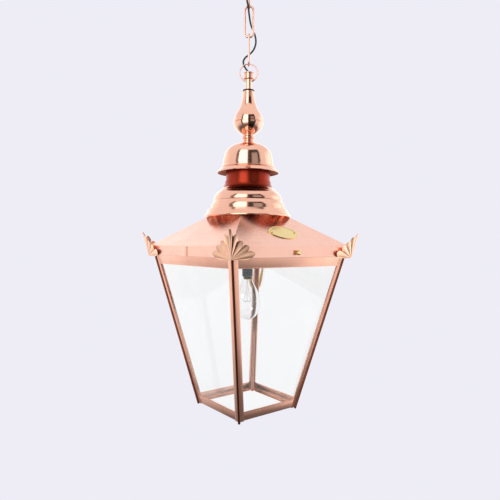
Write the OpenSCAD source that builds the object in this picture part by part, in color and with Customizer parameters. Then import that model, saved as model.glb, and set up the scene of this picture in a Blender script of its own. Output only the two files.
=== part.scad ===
// Hanging copper lantern: chain, turned finial, vented cap, pyramid roof with corner ears,
// and a tapered four-pane frame that hinges down for changing the bulb.
// Millimetres, +Z up. The ceiling is at z = 0 and everything hangs below it on the Z axis.
// The front of the lantern, with the nameplate and thumbscrew, faces -Y; the hinge is at +Y.

/* [Frame] */
// Outside width of the frame at its foot
base_side = 155; // [120:1:200]
// Height of the frame from the foot to the top of its rails
frame_h = 350; // [260:1:430]
// Lean of each side outwards from vertical, degrees
lean = 12.25; // [4:0.25:16]
// Width of each post's two flanges
flange_w = 13; // [9:0.5:20]
// Thickness of the frame's sheet
sheet_t = 1.4; // [1:0.1:2.5]
// Radius of the round bead along each corner
bead_r = 2.7; // [1.8:0.1:4]
// Height of the top rails
top_rail_h = 31; // [20:1:45]
// Height of the bottom rails
bottom_rail_h = 19; // [12:1:30]
// Thickness of the glass
glass_t = 3; // [2:0.5:4]

/* [Roof] */
// Gap between the top of the frame's sides and the roof's skirt
eaves = 10; // [6:0.5:20]
// Height of the vertical skirt
skirt_h = 21; // [14:1:32]
// How far the frame's rails stand up inside the skirt
skirt_cover = 11; // [6:1:16]
// Slope of the roof's flats, degrees
roof_slope = 34.3; // [25:0.1:42]
// Thickness of the roof's sheet
roof_t = 1; // [0.8:0.1:1.6]
// Height of the corner ears
ear_h = 56; // [40:1:75]

/* [Chimney and cap] */
// Radius of the stepped bell at its rim
bell_r = 96; // [80:1:115]
// Radius of the chimney
chimney_r = 49.3; // [40:0.1:52]
// Radius of the cap at its rim
cap_r = 69.8; // [60:0.1:85]

/* [Chain] */
// Length of a chain link, outside
link_l = 74; // [50:1:100]
// Width of a chain link, outside
link_w = 24; // [20:1:44]
// Thickness of a link's wire
link_d = 5; // [3:0.5:7]
// Radius of the hanging ring, to the middle of its wire
ring_r = 20; // [19:0.5:26]
// Thickness of the ring's wire
ring_d = 2.8; // [2:0.1:3]
// Diameter of the flex
flex_d = 4; // [3:0.1:4]
// Turn of the ring and chain about Z, degrees
chain_turn = -38; // [-90:1:90]

/* [Hidden] */
$fn = 64;
gap = 0.3;
lean_t = tan(lean);
roof_tan = tan(roof_slope);

// Heights above the foot of the frame.
skirt_z = frame_h - skirt_cover;
fold_z = skirt_z + skirt_h;
roof_half = base_side / 2 + frame_h * lean_t + eaves - 2.1;
bell_z = fold_z + (roof_half - (bell_r - 2) / sqrt(2)) * roof_tan + 1.4;
chimney_z = bell_z + 62;
chimney_top = bell_z + 122;
cap_z = bell_z + 97.5;
cap_top = cap_z + 67.5;
neck_h = 17.5;
neck_z = cap_top;
bowl_z = neck_z + neck_h;
bowl_h = 27.5;
finial_z = bowl_z + bowl_h;
finial_h = 70;
washer_z = finial_z + finial_h;
washer_h = 3.6;
spindle_z = washer_z + washer_h;
spindle_r = 7.4;
bore_r = 6;
hole_z = spindle_z + 18.4;
collar_z = hole_z + 5;
collar_h = 15.5;
ring_z = hole_z + ring_r;

// Wire middles of the links: where each link's lower and upper bends lie.
link_c = link_l - link_d;
link3_lo = ring_z + ring_r - ring_d / 2 - link_d / 2 - gap;
link3_hi = link3_lo + link_c;
link2_lo = link3_hi - link_d - gap;
link2_hi = link2_lo + link_c;
link1_lo = link2_hi - link_d - gap;
link1_hi = link1_lo + link_c;
hook_r = 11;
hook_d = 6;
hook_lo = link1_hi - link_d / 2 - hook_d / 2 - gap;
plate_r = 52;
plate_h = 24;
drop = hook_lo + 2 * hook_r + 16 + plate_h;

// Lamp.
strap_z = fold_z + 5;
strap_t = 3;
strap_half = 118;
tube_r = 5;
tube_bore = 3.2;
holder_r = 12;
holder_lo = frame_h - 58;
holder_hi = strap_z - 12;

// Hinge at the back, and thumbscrew at the front.
hinge_r = 3.2;
pin_r = 1.6;
hinge_y = roof_half + 3.4;
hinge_z = skirt_z - 3.6;
screw_z = skirt_z + 9.5;

// Colours for the views.
copper = [0.80, 0.50, 0.38];
polished = [0.86, 0.56, 0.40];
brass = [0.80, 0.65, 0.30];
black = [0.08, 0.08, 0.09];
clear = [0.75, 0.85, 0.90, 0.35];
steel = [0.62, 0.63, 0.65];

// Half the frame's outside width at a height above its foot.
function half_at(z) = base_side / 2 + z * lean_t;

// Underside of the roof's flats at a distance from the axis.
function under_roof(d) = fold_z + (roof_half - d) * roof_tan - roof_t / cos(roof_slope);

// Height up a leaning side that lies at a height above the foot.
function slope(z) = z / cos(lean);

// The inner face of a thin turned shell whose outer profile runs upwards.
function inner_face(p, t) = [
    for (i = [len(p) - 1 : -1 : 0])
        let (a = p[max(i - 1, 0)], b = p[min(i + 1, len(p) - 1)], d = (b - a) / norm(b - a))
            [p[i][0] - t * d[1], p[i][1] + t * d[0]]
];

// Places things drawn with z above the foot.
module lift() {
    translate([0, 0, -drop]) children();
}

// Side k of the lantern: 0 front, 1 right, 2 back, 3 left. Children are drawn flat, x across,
// y up the side from z0, z outwards; they lean out by the angle a.
module on_side(k, half, a, z0) {
    rotate([0, 0, 90 * k]) translate([0, -half, z0]) rotate([90 + a, 0, 0]) children();
}

module turned_shell(profile, t) {
    rotate_extrude() polygon(concat(profile, inner_face(profile, t)));
}

module turned_solid(profile, bore) {
    top = profile[len(profile) - 1][1];
    rotate_extrude() polygon(concat([[bore, profile[0][1]]], profile, [[bore, top]]));
}

// ---------------------------------------------------------------- ceiling
module ceiling_plate() {
    color(copper) difference() {
        translate([0, 0, -plate_h]) rotate_extrude() polygon([
            [3, 0], [14, 0], [30, 3], [43, 9], [50, 17], [plate_r, 21], [plate_r, plate_h],
            [plate_r - 2.5, plate_h], [plate_r - 3.5, 20.5], [41.5, 11.5], [29, 5.6], [14, 3], [3, 3]
        ]);
        for (s = [-1, 1]) rotate([0, 0, chain_turn]) translate([32 * s, 0, -plate_h - 5])
            cylinder(r = 2.3, h = 60);
        for (s = [-1, 1]) rotate([0, 0, chain_turn]) translate([32 * s, 0, -plate_h - 5])
            cylinder(r = 4.3, h = 8.2);
        rotate([0, 0, chain_turn]) translate([0, -20, -plate_h - 5]) cylinder(r = 4.2, h = 60);
    }
}

module ceiling_hook() {
    color(copper) lift() rotate([0, 0, chain_turn]) {
        translate([0, 0, hook_lo + hook_r]) rotate([90, 0, 0]) rotate_extrude()
            translate([hook_r, 0]) circle(r = hook_d / 2);
        translate([0, 0, hook_lo + 2 * hook_r]) cylinder(r = 2.9, h = 24);
        translate([0, 0, hook_lo + 2 * hook_r + 10]) cylinder(r = 7, h = 6);
        translate([0, 0, hook_lo + 2 * hook_r + 19]) cylinder(r = 6, h = 4, $fn = 6);
    }
}

module ceiling_screws() {
    color(steel) rotate([0, 0, chain_turn]) for (s = [-1, 1]) translate([32 * s, 0, 0]) {
        translate([0, 0, -plate_h + 3]) cylinder(r = 2.2, h = 6.5);
        translate([0, 0, -plate_h + 9.5]) cylinder(r = 2, h = plate_h - 0.5);
        translate([0, 0, -plate_h - 1.2]) cylinder(r1 = 3, r2 = 4.2, h = 2);
        translate([0, 0, -plate_h + 0.8]) cylinder(r = 4.2, h = 2.4);
    }
}

module ceiling_grommet() {
    color(black) rotate([0, 0, chain_turn]) translate([0, -20, -plate_h]) difference() {
        union() {
            translate([0, 0, -2.6]) cylinder(r = 6, h = 2.4);
            translate([0, 0, -0.6]) cylinder(r = 4.15, h = 7);
        }
        translate([0, 0, -5]) cylinder(r = flex_d / 2 + 0.02, h = 15);
    }
}

// ---------------------------------------------------------------- flex
// Points are across, away and up, in the turned frame of the chain, from the ring's middle up.
flex_top = drop - plate_h - ring_z;
flex_route = [
    [0, -20, flex_top], [0, -20, 232], [-3, -20.5, 215], [-6.5, -20, 198], [-8, -19, 182],
    [-7.4, -18, 168], [-5.4, -17.5, 155], [-2.6, -14, 142], [-0.6, -7.5, 131], [1.2, 0, 121],
    [3.8, 6.4, 111], [8, 9.4, 101], [12.6, 9, 90], [15.2, 6.8, 78], [15, 4, 66], [11.4, 2.5, 54.5],
    [6, 1.5, 46.5], [0, 1, 41], [-8, 2.4, 35], [-12.4, 4.6, 27.5], [-10.8, 6, 19], [-6.4, 5.6, 11],
    [-1.3, 3.9, 3.5], [0, 3.75, -3.5], [0, 3.75, -9]
];
inner_route = [
    [0, 3.75, -9.2], [0, 3.75, -14], [0, 3.75, -20.5], [0, 3.3, -24], [0, 2.2, -28], [0, 1.1, -32],
    [0, 0.7, -37], [0, 0.3, -45], [0, 0, -60], [0, 0, -90]
];

// Smooth curve through the points, three steps to a span.
function spline(p, i, t) =
    let (n = len(p) - 1, a = p[max(i - 1, 0)], b = p[i], c = p[i + 1], d = p[min(i + 2, n)])
    0.5 * (2 * b + (c - a) * t + (2 * a - 5 * b + 4 * c - d) * t * t
        + (3 * b - 3 * c + d - a) * t * t * t);
function curve(p, steps) = concat(
    [for (i = [0 : len(p) - 2], s = [0 : steps - 1]) spline(p, i, s / steps)], [p[len(p) - 1]]);

// Rings of points around the curve, kept from twisting by one fixed side direction.
function ring_at(c, i, r, n) =
    let (a = c[max(i - 1, 0)], b = c[min(i + 1, len(c) - 1)], t = (b - a) / norm(b - a),
        side = cross(t, [0.96, 0.28, 0]), u = side / norm(side), v = cross(t, u))
    [for (k = [0 : n - 1]) c[i] + r * (cos(360 * k / n) * u + sin(360 * k / n) * v)];

module sweep(route, r, steps) {
    c = curve(route, steps);
    n = 8;
    m = len(c);
    points = [for (i = [0 : m - 1]) each ring_at(c, i, r, n)];
    sides = [
        for (i = [0 : m - 2], k = [0 : n - 1])
            each [
                [i * n + k, (i + 1) * n + k, (i + 1) * n + (k + 1) % n],
                [i * n + k, (i + 1) * n + (k + 1) % n, i * n + (k + 1) % n]
            ]
    ];
    ends = [[for (k = [0 : n - 1]) k], [for (k = [n - 1 : -1 : 0]) (m - 1) * n + k]];
    polyhedron(points, concat(sides, ends));
}

module supply_flex() {
    color(black) lift() rotate([0, 0, chain_turn]) translate([0, 0, ring_z])
        sweep(flex_route, flex_d / 2, 3);
}

module inner_flex() {
    color(black) lift() {
        rotate([0, 0, chain_turn]) translate([0, 0, ring_z]) sweep(inner_route, flex_d / 2, 2);
        translate([0, 0, holder_hi - 6]) cylinder(r = 1.84, h = ring_z - 90 - holder_hi + 6);
    }
}

// ---------------------------------------------------------------- chain
// A link of round wire: two bends joined by straights, in the XZ plane.
module link(lo) {
    r = (link_w - link_d) / 2;
    for (s = [0, 1]) translate([0, 0, lo + (s ? link_c - r : r)]) rotate([0, s ? 0 : 180, 0])
        rotate([90, 0, 0]) rotate_extrude(angle = 180) translate([r, 0]) circle(r = link_d / 2);
    for (s = [-1, 1]) translate([s * r, 0, lo + r])
        cylinder(r = link_d / 2, h = link_c - 2 * r);
}

module chain_link_1() {
    color(copper) lift() rotate([0, 0, chain_turn + 90]) link(link1_lo);
}

module chain_link_2() {
    color(copper) lift() rotate([0, 0, chain_turn]) link(link2_lo);
}

module chain_link_3() {
    color(copper) lift() rotate([0, 0, chain_turn + 90]) link(link3_lo);
}

module hanging_ring() {
    color(copper) lift() rotate([0, 0, chain_turn]) translate([0, 0, ring_z])
        rotate([90, 0, 0]) rotate_extrude() translate([ring_r, 0]) circle(r = ring_d / 2);
}

// ---------------------------------------------------------------- finial
module cable_collar() {
    h = collar_h;
    color(polished) lift() translate([0, 0, collar_z]) turned_solid([
        [10.6, 0], [11.7, 1], [11.7, 2.6], [10.8, 3.4], [10.8, h - 3.4], [11.7, h - 2.6],
        [11.7, h - 1.2], [10.2, h]
    ], bore_r);
}

module finial_spindle() {
    color(polished) lift() difference() {
        translate([0, 0, spindle_z]) cylinder(r = spindle_r, h = collar_z - spindle_z);
        translate([0, 0, spindle_z + 3.5]) cylinder(r = bore_r, h = 40);
        translate([0, 0, spindle_z - 1]) cylinder(r = tube_r, h = 10);
        translate([0, 0, hole_z]) rotate([0, 0, chain_turn]) rotate([0, 90, 0])
            cylinder(r = 3.4, h = 40, center = true);
    }
}

module rubber_washer() {
    color(black) lift() translate([0, 0, washer_z]) turned_solid([
        [12.2, 0], [12.8, 0.7], [12.8, washer_h - 0.7], [12.2, washer_h]
    ], tube_r);
}

module finial_bell() {
    color(polished) lift() translate([0, 0, finial_z]) difference() {
        turned_solid([
            [32.8, 0], [33.6, 0.8], [33.5, 2], [32.8, 4], [32.4, 7], [31.2, 11.5], [29.2, 16.5],
            [26.6, 21.5], [23.2, 27], [20.2, 32.5], [17.8, 38.5], [16, 44.5], [14.6, 50.5],
            [13.4, 56.5], [12.6, 62.5], [12.2, finial_h]
        ], tube_r);
        translate([0, 0, -1]) cylinder(r1 = 30, r2 = 9, h = 38);
    }
}

module finial_bowl() {
    h = bowl_h;
    color(polished) lift() translate([0, 0, bowl_z]) difference() {
        turned_solid([
            [11.4, 0], [13, 1.6], [19.4, 5.4], [25, 10.2], [29.4, 15.6], [32, 21], [33, 25],
            [33.2, h]
        ], tube_r);
        translate([0, 0, 9]) cylinder(r1 = 10, r2 = 29, h = h - 8);
    }
}

module finial_neck() {
    h = neck_h;
    color(polished) lift() translate([0, 0, neck_z]) turned_solid([
        [15, 0], [15.2, 1.4], [13.4, 2.8], [11.4, 4.4], [11, 6.4], [12.4, 8.2], [14.4, 9.6],
        [14.8, 11.4], [14.2, 13.2], [12.2, 14.8], [11.2, 15.8], [11.2, h]
    ], tube_r);
}

module stay_tube() {
    color(brass) lift() difference() {
        translate([0, 0, holder_hi - 8]) cylinder(r = tube_r, h = spindle_z + 3 - holder_hi + 8);
        translate([0, 0, holder_hi - 20]) cylinder(r = tube_bore, h = 600);
    }
}

module stay_nuts() {
    color(brass) lift() for (z = [strap_z - 5, strap_z + strap_t, chimney_top - 7, chimney_top])
        translate([0, 0, z]) difference() {
            cylinder(r = 8.2, h = 5, $fn = 6);
            translate([0, 0, -1]) cylinder(r = tube_r, h = 7);
        }
}

// ---------------------------------------------------------------- cap and chimney
module cap() {
    s = cap_r;
    color(copper) lift() translate([0, 0, cap_z]) turned_shell([
        [s - 0.4, 0], [s, 1.1], [s - 3, 4], [s - 6.6, 7], [s - 10, 10], [s - 12, 13.5],
        [s - 12.8, 18], [s - 13.4, 23], [s - 14.6, 30], [s - 16.4, 38.5], [s - 18.6, 45],
        [s - 21.8, 50.5], [s - 26, 55], [s - 31, 58.8], [s - 37.4, 62.2], [s - 44, 64.8],
        [s - 51, 66.6], [tube_r, 67.5]
    ], 1);
}

module chimney_spider() {
    r = chimney_r - 1;
    color(brass) lift() translate([0, 0, chimney_top - 2]) difference() {
        union() {
            for (a = [0, 120, 240]) rotate([0, 0, a]) {
                translate([0, -4, 0]) cube([r - 0.4, 8, 2]);
                translate([r - 2.2, -4, -10]) cube([1.9, 8, 12]);
            }
            cylinder(r = 13, h = 2);
        }
        translate([0, 0, -1]) cylinder(r = tube_r, h = 5);
    }
}

module chimney() {
    h = chimney_top - chimney_z;
    color(copper) lift() translate([0, 0, chimney_z]) rotate_extrude() polygon([
        [chimney_r - 1, 0], [chimney_r, 0], [chimney_r, h - 1.6], [chimney_r + 0.8, h - 0.8],
        [chimney_r, h], [chimney_r - 1, h]
    ]);
}

module chimney_bell() {
    n = chimney_r + 1.1;
    w = bell_r - n;
    steps = [
        [1, 0], [1.004, 1.2], [0.956, 5], [0.89, 10.2], [0.835, 15.6], [0.69, 17], [0.693, 20.6],
        [0.686, 24], [0.652, 28], [0.6, 32], [0.553, 35], [0.568, 38.4], [0.554, 42], [0.5, 47],
        [0.42, 51.4], [0.334, 55], [0.27, 57.4], [0.17, 61.8], [0.09, 66.6], [0.04, 71.4],
        [0.022, 75], [0.022, 78]
    ];
    color(copper) lift() translate([0, 0, bell_z])
        turned_shell([for (p = steps) [n + w * p[0], p[1]]], 1);
}

// ---------------------------------------------------------------- roof
// A square pyramid frustum or prism about the axis, from half width a to b.
module square_cone(a, b, h) {
    rotate([0, 0, 45]) cylinder(r1 = a * sqrt(2), r2 = b * sqrt(2), h = h, $fn = 4);
}

module roof() {
    neck = (bell_r - 8.3) / sqrt(2);
    rise = (roof_half - neck) * roof_tan;
    dt = roof_t / sin(roof_slope);
    color(copper) lift() difference() {
        union() {
            translate([-roof_half, -roof_half, skirt_z]) cube([2 * roof_half, 2 * roof_half, skirt_h]);
            translate([0, 0, fold_z]) square_cone(roof_half, neck, rise);
        }
        translate([-roof_half + roof_t, -roof_half + roof_t, skirt_z - 1])
            cube([2 * (roof_half - roof_t), 2 * (roof_half - roof_t), skirt_h + 1.01]);
        translate([0, 0, fold_z]) square_cone(roof_half - dt, neck - dt, rise);
        translate([-neck + dt, -neck + dt, fold_z]) cube([2 * (neck - dt), 2 * (neck - dt), rise + 5]);
        translate([0, -roof_half, screw_z]) rotate([90, 0, 0])
            cylinder(r = 2.4, h = 20, center = true);
        on_roof(plate_half) for (s = [-1, 1]) translate([s * plate_screws, 0, -6])
            cylinder(r = 1.6, h = 12);
    }
}

module skirt_seam() {
    color(copper) lift() on_side(3, roof_half, 0, skirt_z) translate([-9, 0.4, 0.02])
        cube([18, skirt_h - 1, 0.8]);
}

// Oval plate on the front flat of the roof, with a screw at each end.
plate_half = roof_half - 42;
plate_screws = 31;
module on_roof(half) {
    translate([0, -half, fold_z + (roof_half - half) * roof_tan])
        rotate([roof_slope, 0, 0]) children();
}

module nameplate() {
    color(brass) lift() on_roof(plate_half) translate([0, 0, 0.05]) linear_extrude(1.6) difference() {
        intersection() {
            translate([0, 26.5]) circle(r = 50);
            translate([0, -26.5]) circle(r = 50);
            circle(r = 41);
        }
        for (s = [-1, 1]) translate([s * plate_screws, 0]) circle(r = 1.6);
    }
}
module nameplate_screws() {
    color(brass) lift() on_roof(plate_half) for (s = [-1, 1]) translate([s * plate_screws, 0, -4]) {
        cylinder(r = 1.45, h = 6);
        translate([0, 0, 5.7]) difference() {
            cylinder(r1 = 3, r2 = 2.2, h = 1.2);
            translate([-4, -0.35, 0.6]) cube([8, 0.7, 2]);
        }
    }
}

// One wing of an ear: five rays, drawn from the fold line at x = 0 towards -x.
module ear_wing(k, side) {
    a = 10.9;
    h = ear_h;
    t = 0.8;
    e = sin(a);
    outline = [
        [0, 0], [34, 0], [50, 3], [53, 12.5], [46, 15], [43, 23.5], [32, 24.5], [25.5, 35],
        [17, 35.5], [11, 47.5], [6, 46.5], [2.2, h - 2], [0, h]
    ];
    on_side(k, roof_half + t, a, skirt_z - 3) translate([0, 0, -t]) linear_extrude(t)
        polygon([for (p = outline) [side * (roof_half + t + p[1] * e - p[0]), p[1]]]);
}

module ear(k) {
    color(copper) lift() {
        ear_wing(k, 1);
        ear_wing((k + 1) % 4, -1);
    }
}

module ear_1() { ear(0); }
module ear_2() { ear(1); }
module ear_3() { ear(2); }
module ear_4() { ear(3); }

module ear_rivets() {
    color(copper) lift() for (k = [0 : 3], s = [-1, 1])
        on_side(k, roof_half, 0, skirt_z) translate([s * (roof_half - 26), 8, -1])
            translate([0, 0, 1.02]) cylinder(r1 = 1.5, r2 = 1.1, h = 0.9);
}

// ---------------------------------------------------------------- lamp
module lamp_strap() {
    x = strap_half;
    z = strap_z;
    w = strap_t;
    color(brass) lift() difference() {
        translate([0, 9, 0]) rotate([90, 0, 0]) linear_extrude(18) polygon([
            [-x - w, z], [x + w, z], [x + w, under_roof(x + w) - 0.02], [x, under_roof(x) - 0.02],
            [x, z + w], [-x, z + w], [-x, under_roof(x) - 0.02], [-x - w, under_roof(x + w) - 0.02]
        ]);
        translate([0, 0, z - 1]) cylinder(r = tube_r, h = w + 2);
    }
}

module lampholder() {
    r = holder_r;
    color(black) lift() difference() {
        translate([0, 0, holder_lo]) rotate_extrude() polygon([
            [9.2, 0], [r - 1.4, 0], [r - 0.2, 1.6], [r, 4], [r, holder_hi - holder_lo - 22],
            [r + 1, holder_hi - holder_lo - 20], [r + 1, holder_hi - holder_lo - 8],
            [r - 1, holder_hi - holder_lo - 3], [8, holder_hi - holder_lo],
            [tube_r, holder_hi - holder_lo], [tube_r, holder_hi - holder_lo - 9],
            [2.1, holder_hi - holder_lo - 9], [2.1, holder_hi - holder_lo - 20],
            [9.2, holder_hi - holder_lo - 20]
        ]);
    }
}

module lampholder_ring() {
    color([0.3, 0.16, 0.1]) lift() translate([0, 0, holder_lo]) rotate_extrude() polygon([
        [7.4, -5], [8.8, -5], [9.15, -3.5], [9.15, 8], [8.8, 10], [7.4, 10]
    ]);
}

module bulb_cap() {
    color(brass) lift() translate([0, 0, holder_lo]) rotate_extrude() polygon([
        [0, -6.5], [6.8, -6.5], [7, -3], [7, 16], [5.6, 19], [2.6, 20], [2.4, 22], [0, 22]
    ]);
}

module bulb_glass() {
    color(clear) lift() translate([0, 0, holder_lo - 96.5]) rotate_extrude() polygon([
        [0, 0], [8, 1], [14.6, 4.2], [20.4, 9.6], [25, 17], [27.8, 26], [28.6, 36], [28.2, 46],
        [26.6, 55], [23.6, 64], [19.6, 72], [15.8, 79], [13.2, 85], [12.2, 89.9],
        [11.2, 89.9], [12.2, 84.8], [14.8, 78.6], [18.6, 71.6], [22.6, 63.6], [25.6, 54.8],
        [27.2, 45.9], [27.6, 36], [26.8, 26.2], [24.1, 17.4], [19.7, 10.4], [14.1, 5.2],
        [7.8, 2], [0, 1]
    ]);
}

module bulb_filament() {
    z = holder_lo - 6.5;
    color(steel) lift() {
        translate([0, 0, z - 30]) cylinder(r = 2, h = 30);
        translate([0, 0, z - 4]) cylinder(r = 6, h = 4);
        for (s = [-1, 1]) {
            translate([1.6 * s, 0, z - 26]) rotate([0, 180 - 16 * s, 0]) cylinder(r = 0.5, h = 24);
        }
        translate([-8.1, 0, z - 49]) rotate([0, 90, 0]) cylinder(r = 0.6, h = 16.2);
    }
}

// ---------------------------------------------------------------- frame
// Outline of one of a post's flanges on a side: s = 1 right-hand end, -1 left-hand end.
module flange(s) {
    top = slope(frame_h);
    foot = slope(2.5);
    w = flange_w;
    polygon([for (v = [foot, top]) each
        [[s * (base_side / 2 + v * sin(lean)), v]], [s * (base_side / 2 + top * sin(lean) - w), top],
        [s * (base_side / 2 + foot * sin(lean) - w), foot]]);
}

module post(k) {
    reach = sqrt(2) * (base_side / 2);
    tilt = atan(lean_t * sqrt(2));
    color(copper) lift() {
        on_side(k, base_side / 2, lean, 0) translate([0, 0, -sheet_t]) linear_extrude(sheet_t)
            flange(1);
        on_side((k + 1) % 4, base_side / 2, lean, 0) translate([0, 0, -sheet_t])
            linear_extrude(sheet_t) flange(-1);
        rotate([0, 0, 90 * k - 45]) translate([reach, 0, 0]) rotate([0, tilt, 0])
            cylinder(r = bead_r, h = (skirt_z + 1) / cos(tilt));
    }
}

module post_1() { post(0); }
module post_2() { post(1); }
module post_3() { post(2); }
module post_4() { post(3); }

// A rail between two posts: outer flat, and a lip that turns inwards.
module rail(k, lo, hi, lip_at, lip, slot) {
    a = slope(lo);
    b = slope(hi);
    c = base_side / 2 - flange_w - 0.02;
    n = slope(lip_at);
    m = c + n * sin(lean) - glass_t - 3;
    color(copper) lift() on_side(k, base_side / 2, lean, 0) difference() {
        union() {
            translate([0, 0, -sheet_t]) linear_extrude(sheet_t) polygon([
                [-c - a * sin(lean), a], [c + a * sin(lean), a],
                [c + b * sin(lean), b], [-c - b * sin(lean), b]
            ]);
            translate([-m, n, -lip]) cube([2 * m, sheet_t, lip - 0.5]);
        }
        if (slot) {
            translate([-2.6, slope(screw_z) - 3, -20]) cube([5.2, 40, 40]);
        }
    }
}

module top_rail(k, slot) {
    rail(k, frame_h - top_rail_h, frame_h, frame_h - 8 - (slot ? 8 : 0), 11, slot);
}

module bottom_rail(k) {
    rail(k, 4, 4 + bottom_rail_h, 4, 9, false);
}

module top_rail_front() { top_rail(0, true); }
module top_rail_right() { top_rail(1, false); }
module top_rail_back() { top_rail(2, false); }
module top_rail_left() { top_rail(3, false); }
module bottom_rail_front() { bottom_rail(0); }
module bottom_rail_right() { bottom_rail(1); }
module bottom_rail_back() { bottom_rail(2); }
module bottom_rail_left() { bottom_rail(3); }

// Glass behind the flanges and rails, standing on the bottom lip.
module pane(k) {
    a = slope(4) + sheet_t + 0.3;
    b = slope(frame_h - 19);
    c = base_side / 2 - glass_t - 2.2;
    color(clear) lift() on_side(k, base_side / 2, lean, 0)
        translate([0, 0, -sheet_t - glass_t - 0.1]) linear_extrude(glass_t) polygon([
            [-c - a * sin(lean), a], [c + a * sin(lean), a],
            [c + b * sin(lean), b], [-c - b * sin(lean), b]
        ]);
}

module pane_front() { pane(0); }
module pane_right() { pane(1); }
module pane_back() { pane(2); }
module pane_left() { pane(3); }

// Leaf-shaped brass spring clips that hold each pane back against its flanges.
module pane_clips() {
    v = slope(frame_h - 98);
    color(brass) lift() for (c = [[1, 1], [2, -1]])
        on_side(c[0], base_side / 2, lean, 0)
            translate([c[1] * (base_side / 2 + v * sin(lean) - 18), v, -sheet_t - glass_t - 1.2])
                linear_extrude(1) polygon([
                    [-1, 0], [1, 0], [3.4, 7], [4.8, 16], [4.8, 30], [4, 50], [4, 70],
                    [-4, 70], [-4, 50], [-4.8, 30], [-4.8, 16], [-3.4, 7]
                ]);
}

// ---------------------------------------------------------------- hinge and thumbscrew
module hinge_leaf_upper() {
    color(copper) lift() difference() {
        union() {
            translate([-32, roof_half + 0.02, skirt_z + 0.4]) cube([64, 1.4, 17]);
            for (x = [-32, 10.2]) {
                translate([x, roof_half + 0.4, hinge_z]) cube([21.8, 1.4, 5]);
                translate([x, hinge_y, hinge_z]) rotate([0, 90, 0]) cylinder(r = hinge_r, h = 21.8);
            }
        }
        translate([-40, hinge_y, hinge_z]) rotate([0, 90, 0]) cylinder(r = pin_r, h = 80);
    }
}

module hinge_pin() {
    color(steel) lift() translate([-33.5, hinge_y, hinge_z]) rotate([0, 90, 0]) {
        cylinder(r = pin_r, h = 67);
        cylinder(r = 2.6, h = 1.4);
    }
}

module hinge_leaf_lower() {
    reach = hinge_y - half_at(hinge_z);
    color(copper) lift() difference() {
        union() {
            translate([-9.8, hinge_y, hinge_z]) rotate([0, 90, 0]) cylinder(r = hinge_r, h = 19.6);
            translate([-9.8, hinge_y - reach, hinge_z - hinge_r]) cube([19.6, reach, 1.4]);
            on_side(2, base_side / 2, lean, 0) translate([-9.8, slope(hinge_z - 16), 0.02])
                cube([19.6, slope(13.8), 1.4]);
        }
        translate([-40, hinge_y, hinge_z]) rotate([0, 90, 0]) cylinder(r = pin_r + 0.05, h = 80);
    }
}

module thumbscrew() {
    color(brass) lift() translate([0, -roof_half - 1, screw_z]) rotate([90, 0, 0]) {
        translate([0, 0, -12]) cylinder(r = 2, h = 13);
        cylinder(r = 3.6, h = 1.4);
        translate([0, 0, 1.4]) cylinder(r = 2.4, h = 1);
        translate([0, 0, 2.4]) difference() {
            cylinder(r = 4.8, h = 4.4);
            for (i = [0 : 17]) rotate([0, 0, 20 * i]) translate([5.1, 0, -1]) cylinder(r = 0.5, h = 7);
        }
        translate([0, 0, 6.8]) cylinder(r1 = 4.6, r2 = 3.4, h = 1.2);
    }
}

ceiling_plate();
ceiling_hook();
ceiling_screws();
ceiling_grommet();
supply_flex();
chain_link_1();
chain_link_2();
chain_link_3();
hanging_ring();
cable_collar();
finial_spindle();
rubber_washer();
finial_bell();
finial_bowl();
finial_neck();
stay_tube();
stay_nuts();
cap();
chimney_spider();
chimney();
chimney_bell();
roof();
skirt_seam();
nameplate();
nameplate_screws();
ear_1();
ear_2();
ear_3();
ear_4();
ear_rivets();
lamp_strap();
lampholder();
lampholder_ring();
inner_flex();
hinge_leaf_upper();
hinge_pin();
bulb_cap();
bulb_glass();
bulb_filament();
post_1();
post_2();
post_3();
post_4();
top_rail_front();
top_rail_right();
top_rail_back();
top_rail_left();
bottom_rail_front();
bottom_rail_right();
bottom_rail_back();
bottom_rail_left();
pane_front();
pane_right();
pane_back();
pane_left();
pane_clips();
hinge_leaf_lower();
thumbscrew();
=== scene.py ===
import math

import bmesh
import bpy
from mathutils import Matrix, Vector


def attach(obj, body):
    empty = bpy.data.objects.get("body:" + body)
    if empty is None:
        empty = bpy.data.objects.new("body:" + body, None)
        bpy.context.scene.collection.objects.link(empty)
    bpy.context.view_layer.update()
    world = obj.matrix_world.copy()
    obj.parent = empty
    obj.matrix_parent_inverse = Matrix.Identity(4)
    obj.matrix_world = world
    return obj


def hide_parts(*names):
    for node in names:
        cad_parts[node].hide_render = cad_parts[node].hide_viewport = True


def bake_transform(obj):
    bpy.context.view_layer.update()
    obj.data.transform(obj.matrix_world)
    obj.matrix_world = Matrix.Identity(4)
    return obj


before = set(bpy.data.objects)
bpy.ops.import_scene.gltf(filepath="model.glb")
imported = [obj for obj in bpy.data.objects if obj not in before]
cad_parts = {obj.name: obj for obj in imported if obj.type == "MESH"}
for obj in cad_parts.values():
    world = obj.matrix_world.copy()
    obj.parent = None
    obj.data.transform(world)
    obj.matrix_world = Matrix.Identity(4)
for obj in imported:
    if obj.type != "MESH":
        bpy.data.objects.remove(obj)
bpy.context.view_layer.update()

# ---------------------------------------------------------------- sizes, in mm above the foot
LEAN = 12.25
LEAN_T = math.tan(math.radians(LEAN))
SLOPE = 34.3
SLOPE_T = math.tan(math.radians(SLOPE))
BASE = 77.5
FRAME_H = 350.0
SKIRT = 339.0
FOLD = 360.0
ROOF_OVERHANG = 7.9
ROOF = BASE + FRAME_H * LEAN_T + ROOF_OVERHANG
BELL_R = 96.0
BELL = FOLD + (ROOF - (BELL_R - 2) / math.sqrt(2)) * SLOPE_T + 1.4
CHIMNEY_R = 49.3
CHIMNEY = BELL + 62
CAP_R = 69.8
CAP_H = 67.5
CAP = BELL + 97.5
NECK_H = 17.5
NECK = CAP + CAP_H
BOWL_H = 27.5
BOWL = NECK + NECK_H
FINIAL_H = 70.0
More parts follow.
